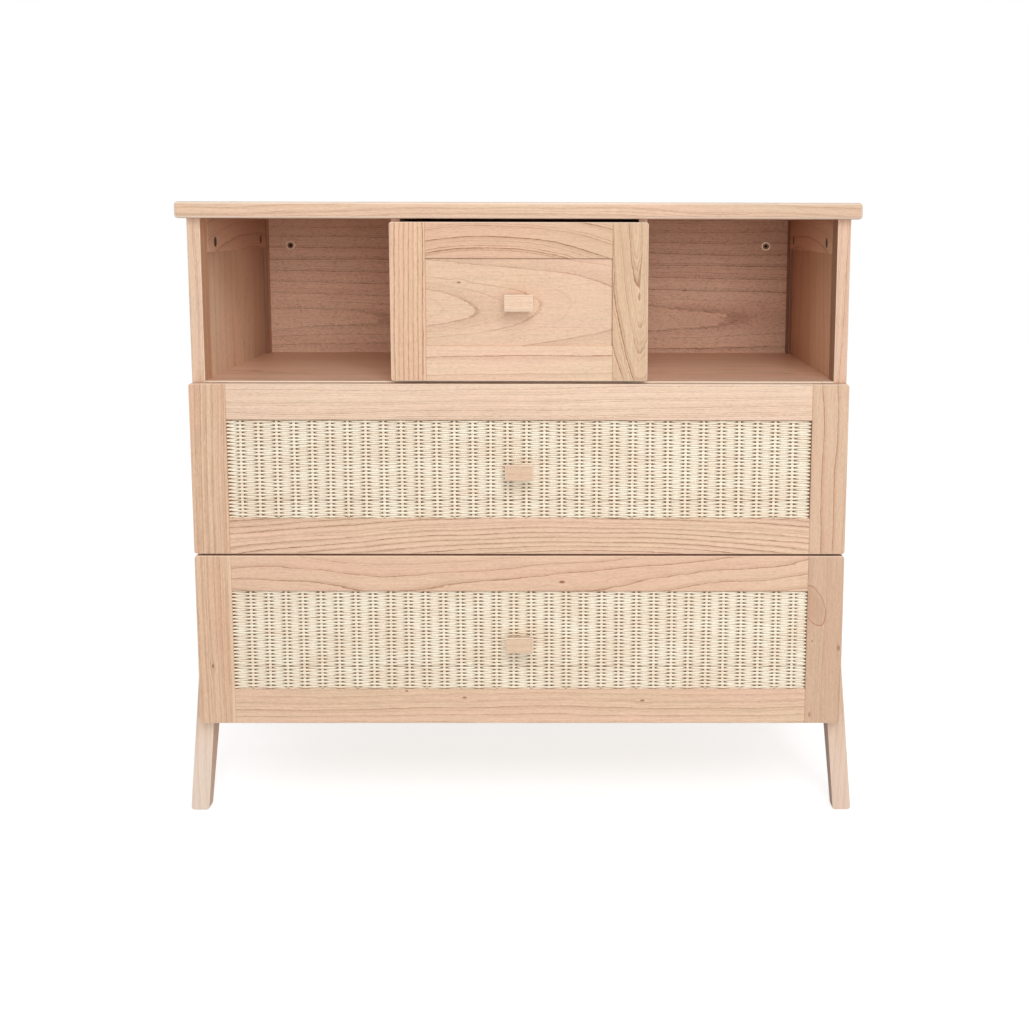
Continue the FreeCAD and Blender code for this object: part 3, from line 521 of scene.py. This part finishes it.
# the panel carries a painted shadow line under the top rail and painted shade beside the right stile
board("top_drawer_panel", "x", (-300, 752, PANEL_FACE), (0.0, 0.155), ring=-36, fine=0.5, warp=9, vein=0.85,
      pores=1.1, pale=tone(226, 194, 164), warm=tone(228, 191, 164),
      knots=(((-84.4, 786.4, PANEL_FACE), 1.7, 0.85),),
      washes=((Z, 820.6, 818.7, 0.85, tone(108, 66, 44)), (X, 130.9, 129.3, 0.6, tone(128, 84, 58))))

# Wide drawer fronts: the same framing at full width, each board with a figure of its own, from fine
# and straight to sparse and sweeping. Small knots and a lens of heartwood show on the lowest.
wide_frame = {"joint": 415.5, "pores": 0.85}
pink_timber = {"pale": tone(229, 194, 164), "warm": tone(226, 184, 154)}
# painted shadow along a rail's lower edge, where it stands over the weave
weave_shade = tone(118, 76, 46)
board("middle_drawer_left_stile", "z", (500, -700, FRONT_FACE), (0.01, 0), ring=8, fine=0.6, warp=8,
      vein=0.5, **wide_frame, **pink_timber)
board("middle_drawer_right_stile", "z", (520, 560, FRONT_FACE), (0.0, 0.1), ring=19, fine=0.15, warp=30,
      vein=0.8, **wide_frame, pale=tone(219, 187, 158), warm=tone(218, 181, 152), dark=tone(164, 104, 76))
# its lower edge carries a painted shadow line over the weave
board("middle_drawer_top_rail", "x", (0, 800, FRONT_FACE), (0.012, 0.05), ring=13, fine=0.6, warp=12,
      vein=0.3, **wide_frame, pale=tone(237, 209, 183), warm=tone(236, 204, 179),
      washes=((Z, 591.6, 592.8, 0.75, weave_shade),))
board("middle_drawer_bottom_rail", "x", (60, 352, FRONT_FACE), (0.0, 0.13), ring=7, fine=0.5, warp=13,
      vein=0.7, **wide_frame)
board("lower_drawer_left_stile", "z", (400, -640, FRONT_FACE), (-0.01, 0), ring=8, fine=0.6, warp=9,
      vein=0.42, **wide_frame, **pink_timber, knots=(((229.9, -446.2, FRONT_FACE), 2.0, 0.75),),
      washes=((X, -416.5, -421.5, 0.55, tone(242, 216, 182)),))
board("lower_drawer_right_stile", "z", (250, 700, FRONT_FACE), (0.01, 0), ring=26, fine=0.3, warp=20,
      vein=0.3, **wide_frame, pale=tone(213, 181, 153), warm=tone(210, 174, 147),
      heart=((320.5, 425, FRONT_FACE), 30, 15), knots=(
          ((257.3, 462.5, FRONT_FACE), 2.8, 0.6), ((267.7, 423.6, FRONT_FACE), 1.4, 0.6),
          ((156.4, 422.7, FRONT_FACE), 2.6, 0.5)))
# its lower edge carries a painted shadow line over the weave
board("lower_drawer_top_rail", "x", (-120, 470, FRONT_FACE), (0.03, 0.19), ring=17, fine=0.25, warp=40,
      vein=0.65, **wide_frame, pale=tone(230, 195, 166), warm=tone(230, 190, 163),
      knots=(((60.5, 355.8, FRONT_FACE), 2.6, 0.9),), washes=((Z, 342.1, 343.2, 0.5, weave_shade),))
board("lower_drawer_bottom_rail", "x", (0, -120, FRONT_FACE), (0.0, 0.04), ring=11, fine=0.6, warp=17,
      vein=0.52, **wide_frame, knots=(
          ((177.9, 177.9, FRONT_FACE), 2.2, 0.8), ((-81.4, 182.3, FRONT_FACE), 2.0, 0.75),
          ((-165.7, 192.5, FRONT_FACE), 1.8, 0.75)))

# Woven fronts: round rattan core, one strand over and under upright stakes and the next the other way,
# held in the frame's groove in front of a thin veneered backing. Each strand is a real strand, and its
# sizes are in millimetres.
M_PER_MM = 0.001
WEAVE_END = 418.5
WEAVE_MIDDLE = -202.0
GROOVE_MIDDLE = -201.5
GROOVE_SWING = 0.5
STAKES = 32
STAKE_PITCH = 25.35
STAKE_SHIFT = 0.7
STAKE_TILT = 0.006
STAKE_WANDER = 0.1
STAKE_HALF_WIDTH = 2.2
STAKE_HALF_DEPTH = 0.75
STAKE_STEPS = 10
STAKE_SIDES = 8
ROW_PITCH = 2.65
OVER_HALF_HEIGHT = 1.8
UNDER_HALF_HEIGHT = 0.95
STRAND_HALF_DEPTH = 0.55
STRAND_SWING = 1.36
STRAND_STIFFNESS = 2.0
STRAND_SWAY = 0.17
STRAND_SIDES = 6
STEPS_PER_STAKE = 8
THIN_STRAND = 0.7
THIN_STRAND_SINKS = 0.3
PINCH_REACH = 14
CALM_PINCH = 0.3
HOLLOW_START = -202.05
HOLLOW_FULL = -201.1


def rattan_core(label, pale, shade):
    """Rattan core: cream, a little different from strand to strand, with fine fibres along it, and
    darker brown in the hollows of the weave: partly oil and dust, partly painted shade."""
    material, finish, shader = new_finish(label)
    place = finish.millimetres(finish.add("ShaderNodeTexCoord").outputs["Object"])
    strand_tint = finish.noise(place, (55, 40, 2.3), 1.0)
    cloud = finish.noise(place, (70, 70, 38), 1.0)
    fibre = finish.noise(place, (9, 0.4, 0.4))
    mixed = finish.maths("ADD", finish.times(strand_tint, 0.6), finish.times(cloud, 0.4))
    colour = finish.blend(finish.fade(mixed, 0.40, 0.60), pale, shade)
    colour = finish.blend(finish.fade(fibre, 0.55, 0.75, 0.0, 0.16), colour, tone(216, 184, 146))
    # darker brown deeper in the weave: painted shade in the hollows, with oil and dust
    hollow_dust_and_shade = finish.fade(finish.parts(place)[Y], HOLLOW_START, HOLLOW_FULL, 0.0, 0.95)
    colour = finish.blend(hollow_dust_and_shade, colour, tone(112, 74, 42))
    bump = finish.add("ShaderNodeBump", {"Height": fibre, "Strength": 0.4, "Distance": 0.0001})
    finish.feed(shader.inputs["Base Color"], colour)
    finish.feed(shader.inputs["Roughness"], finish.fade(fibre, 0.3, 0.7, 0.42, 0.6))
    finish.feed(shader.inputs["Normal"], bump.outputs["Normal"])
    return material


def tubes(label, lines, sides):
    """Strands as tubes with closed ends. Each line is a list of (centre, half_width, half_depth, up)
    in millimetres."""
    corners, faces = [], []
    for line in lines:
        first = len(corners)
        for centre, wide, deep, upright in line:
            for side in range(sides):
                turn = math.tau * (side + 0.5) / sides
                across = wide * math.cos(turn)
                out = deep * math.sin(turn)
                shift = (across, out, 0) if upright else (0, out, across)
                corners.append([(c + s) * M_PER_MM for c, s in zip(centre, shift)])
        for step in range(len(line) - 1):
            low = first + step * sides
            for side in range(sides):
                after = (side + 1) % sides
                faces.append((low + side, low + after, low + sides + after, low + sides + side))
        last = first + (len(line) - 1) * sides
        faces.append(tuple(first + side for side in reversed(range(sides))))
        faces.append(tuple(last + side for side in range(sides)))
    mesh = bpy.data.meshes.new(label)
    mesh.from_pydata(corners, [], faces)
    mesh.validate()
    mesh.update()
    mesh.polygons.foreach_set("use_smooth", [True] * len(mesh.polygons))
    piece = bpy.data.objects.new(label, mesh)
    bpy.context.scene.collection.objects.link(piece)
    return piece


def strand(row, height, posts, sway, swell, held, sunk, left_pinch):
    """One strand over and under the posts. It is flatter where it is held in the groove, and a pinch
    draws it towards its neighbour at each end."""
    seat = GROOVE_MIDDLE if held else WEAVE_MIDDLE
    reach = GROOVE_SWING if held else STRAND_SWING
    line = []
    for k in range(len(posts) - 1):
        start, end = posts[k], posts[k + 1]
        way = 1 if (k + row) % 2 else -1
        for step in range(STEPS_PER_STAKE):
            share = step / STEPS_PER_STAKE
            x = start + (end - start) * share
            lift = math.cos(math.pi * share)
            wave = way * math.copysign(abs(lift) ** STRAND_STIFFNESS, lift)
            y = seat + wave * reach + sunk
            drift = sway[k] + (sway[k + 1] - sway[k]) * share
            pinch = left_pinch if x < 0 else CALM_PINCH
            close = max(0.0, 1 - (WEAVE_END - abs(x)) / PINCH_REACH)
            z = height + drift + (pinch if row % 2 else -pinch) * close
            slimmer = wave * (OVER_HALF_HEIGHT - UNDER_HALF_HEIGHT) / 2
            half = (OVER_HALF_HEIGHT + UNDER_HALF_HEIGHT) / 2 - slimmer
            line.append(((x, y, z), half * swell, STRAND_HALF_DEPTH, False))
    return line


core_strands = rattan_core("rattan_strands", tone(253, 243, 221), tone(248, 230, 206))
core_stakes = rattan_core("rattan_stakes", tone(248, 233, 210), tone(242, 223, 197))


def weave(drawer, first_stake, opening, groove, thin_height, left_pinch, seed):
    """One woven front. The opening and the groove round it are given by their low and high sides, and
    the one thin strand by its height."""
    luck = random.Random(seed)
    bottom, top = groove
    middle = (bottom + top) / 2
    stakes = [first_stake + STAKE_PITCH * k + luck.uniform(-STAKE_SHIFT, STAKE_SHIFT) for k in range(STAKES)]
    tilts = [luck.uniform(-STAKE_TILT, STAKE_TILT) for _ in stakes]
    strands = []
    rows = round((top - bottom) / ROW_PITCH)
    for row in range(rows):
        height = bottom + (row + 0.5) * (top - bottom) / rows
        held = height < opening[0] or height > opening[1]
        thin = abs(height - thin_height) < ROW_PITCH / 2
        swell = (THIN_STRAND if thin else 1.0) * luck.uniform(0.95, 1.04)
        sway = [luck.uniform(-STRAND_SWAY, STRAND_SWAY) for _ in range(STAKES + 2)]
        crossings = [x + tilt * (height - middle) for x, tilt in zip(stakes, tilts)]
        posts = [-WEAVE_END] + crossings + [WEAVE_END]
        sunk = THIN_STRAND_SINKS if thin and not held else 0
        strands.append(strand(row, height, posts, sway, swell, held, sunk, left_pinch))
    mesh = tubes(f"{drawer}_drawer_weave", strands, STRAND_SIDES)
    mesh.data.materials.append(core_strands)
    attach(mesh, f"{drawer}_drawer")
    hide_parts(f"{drawer}_drawer_rattan")
    canes = []
    heights = [bottom + (top - bottom) * step / STAKE_STEPS for step in range(STAKE_STEPS + 1)]
    for x, tilt in zip(stakes, tilts):
        cane = []
        for z in heights:
            centre = (x + tilt * (z - middle) + luck.uniform(-STAKE_WANDER, STAKE_WANDER), WEAVE_MIDDLE, z)
            cane.append((centre, STAKE_HALF_WIDTH, STAKE_HALF_DEPTH, True))
        canes.append(cane)
    upright = tubes(f"{drawer}_drawer_stakes", canes, STAKE_SIDES)
    upright.data.materials.append(core_stakes)
    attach(upright, f"{drawer}_drawer")


weave("middle", first_stake=-396.7, opening=(449.0, 591.5), groove=(444.8, 595.8), thin_height=476.4,
      left_pinch=1.1, seed=11)
weave("lower", first_stake=-389.7, opening=(195.0, 342.0), groove=(190.8, 346.3), thin_height=230.0,
      left_pinch=0.3, seed=23)
# the backing is a deeper brown than the fronts: partly its own tone, partly painted shade where it shows
# through the weave's gaps
for drawer, height in (("middle", 700), ("lower", 90)):
    board(f"{drawer}_drawer_backing", "x", (0, height, -60), (0, 0.1), ring=12, warp=20, vein=0.4,
          pale=tone(198, 142, 88), warm=tone(184, 126, 74))

# Drawer boxes: planed softwood, two long sides with an end board between them at front and back, and a
# thin veneered floor in a groove. Each front is screwed on from inside its box.
softwood = {"pale": tone(236, 211, 176), "warm": tone(226, 194, 154), "dark": tone(180, 136, 92)}
box_height = {"top": 740, "middle": 510, "lower": 270}
for drawer in DRAWERS:
    height = box_height[drawer]
    board(f"{drawer}_drawer_box_sides", "y", (0, 0, height - 330), (0, 0.02), ring=7, warp=18, vein=0.5,
          **softwood)
    board(f"{drawer}_drawer_box_ends", "x", (0, height + 20, -80), (0, 0.12), ring=9, warp=18, vein=0.5,
          **softwood)
    board(f"{drawer}_drawer_box_floor", "x", (0, height - 110, 60), (0, 0.06), ring=14, warp=30, vein=0.35,
          pale=tone(230, 204, 168), warm=tone(216, 184, 146))

# Knobs: small square-cut blocks with rounded edges, screwed on from behind, and the screws that hold
# them and the drawer fronts.
knob_pale = {"top": tone(236, 206, 178), "middle": tone(227, 197, 169), "lower": tone(228, 200, 172)}
knob_warm = {"top": tone(233, 199, 171), "middle": tone(224, 190, 162), "lower": tone(225, 193, 165)}
knob_pith_height = {"top": 700, "middle": 460, "lower": 220}
screw_steel = metal("screw_steel", tone(190, 190, 192), rough=0.34, uneven=0.07, grain=(1.2, 1.2, 1.2))
for drawer in DRAWERS:
    board(f"{drawer}_drawer_knob", "x", (0, knob_pith_height[drawer], -210), ring=9, fine=0.2, warp=6,
          vein=0.2, pale=knob_pale[drawer], warm=knob_warm[drawer])
    dress(f"{drawer}_drawer_screws", screw_steel)

# Studio: a plain white floor that keeps the chest's shadow, and an even white surround. Soft light comes
# from two broad panels in front and slightly to the right, one above the chest and one at its height.
SURROUND_LIGHT = 0.48
PAPER_GREY = 0.68
PAPER_GLOW = 0.66
FLOOR_WIDTH = 14
world = bpy.data.worlds.new("studio_surround")
bpy.context.scene.world = world
world.use_nodes = True


def straight_look(finish):
    """One where the camera, a reflection or clear material looks straight at a thing, and nought where
    the thing lights others."""
    seen = finish.add("ShaderNodeLightPath").outputs
    mirrored = finish.maths("MAXIMUM", seen["Is Glossy Ray"], seen["Is Transmission Ray"])
    return finish.maths("MAXIMUM", seen["Is Camera Ray"], mirrored)


surround = Finish(world.node_tree)
surface = world.node_tree.nodes["Background"]
surface.inputs["Color"].default_value = (1, 1, 1, 1)
white_when_seen = surround.fade(straight_look(surround), 0.0, 1.0, SURROUND_LIGHT, 1.0)
surround.feed(surface.inputs["Strength"], white_when_seen)

bpy.ops.mesh.primitive_grid_add(x_subdivisions=4, y_subdivisions=4, size=FLOOR_WIDTH, location=(0, 0, 0))
floor = bpy.context.object
floor.name = "studio_floor"
paper, sheet, paper_shader = new_finish("studio_paper")
paper_shader.inputs["Base Color"].default_value = (PAPER_GREY, PAPER_GREY, PAPER_GREY, 1)
paper_shader.inputs["Roughness"].default_value = 0.9
paper_shader.inputs["Emission Color"].default_value = (1, 1, 1, 1)
glow_when_seen = sheet.fade(straight_look(sheet), 0.0, 1.0, 0.0, PAPER_GLOW)
sheet.feed(paper_shader.inputs["Emission Strength"], glow_when_seen)
floor.data.materials.append(paper)


def soft_light(label, place, target, size, power):
    """A broad square light aimed at a point."""
    lamp = bpy.data.lights.new(label, "AREA")
    lamp.size = size
    lamp.energy = power
    light = bpy.data.objects.new(label, lamp)
    light.location = place
    light.rotation_euler = (Vector(target) - Vector(place)).to_track_quat("-Z", "Y").to_euler()
    bpy.context.scene.collection.objects.link(light)


soft_light("high_panel", place=(0.5, -2.8, 2.7), target=(0, 0, 0.5), size=1.6, power=41)
soft_light("low_panel", place=(0.6, -3.65, 1.0), target=(0, 0, 0.6), size=1.8, power=37)

# Camera: where the photograph was taken from, slightly right of the middle and looking a little down. The
# edges of the fronts, the top, the shelf and the legs gave its place and lens, in the picture's pixels.
FOCAL_PIXELS = 1246.0
IMAGE_PIXELS = 1028
CENTRE_X, CENTRE_Y = 576.0, 379.7
PITCH, YAW, ROLL = 0.1253, -0.0058, 0.0022
CAMERA_PLACE = (0.0699, -1.9515, 0.8697)
lens = bpy.data.cameras.new("camera")
lens.sensor_width = 36
lens.lens = FOCAL_PIXELS / IMAGE_PIXELS * lens.sensor_width
lens.shift_x = (IMAGE_PIXELS / 2 - CENTRE_X) / IMAGE_PIXELS
lens.shift_y = (CENTRE_Y - IMAGE_PIXELS / 2) / IMAGE_PIXELS
camera = bpy.data.objects.new("camera", lens)
level_right = Vector((math.cos(YAW), math.sin(YAW), 0))
level_ahead = Vector((-math.sin(YAW), math.cos(YAW), 0))
ahead = level_ahead * math.cos(PITCH) - Vector((0, 0, math.sin(PITCH)))
above = level_ahead * math.sin(PITCH) + Vector((0, 0, math.cos(PITCH)))
right = level_right * math.cos(ROLL) + above * math.sin(ROLL)
up = above * math.cos(ROLL) - level_right * math.sin(ROLL)
turn = Matrix((right, up, -ahead)).transposed().to_4x4()
camera.matrix_world = Matrix.Translation(CAMERA_PLACE) @ turn
bpy.context.scene.collection.objects.link(camera)
bpy.context.scene.camera = camera
bpy.context.scene.view_settings.view_transform = "Standard"
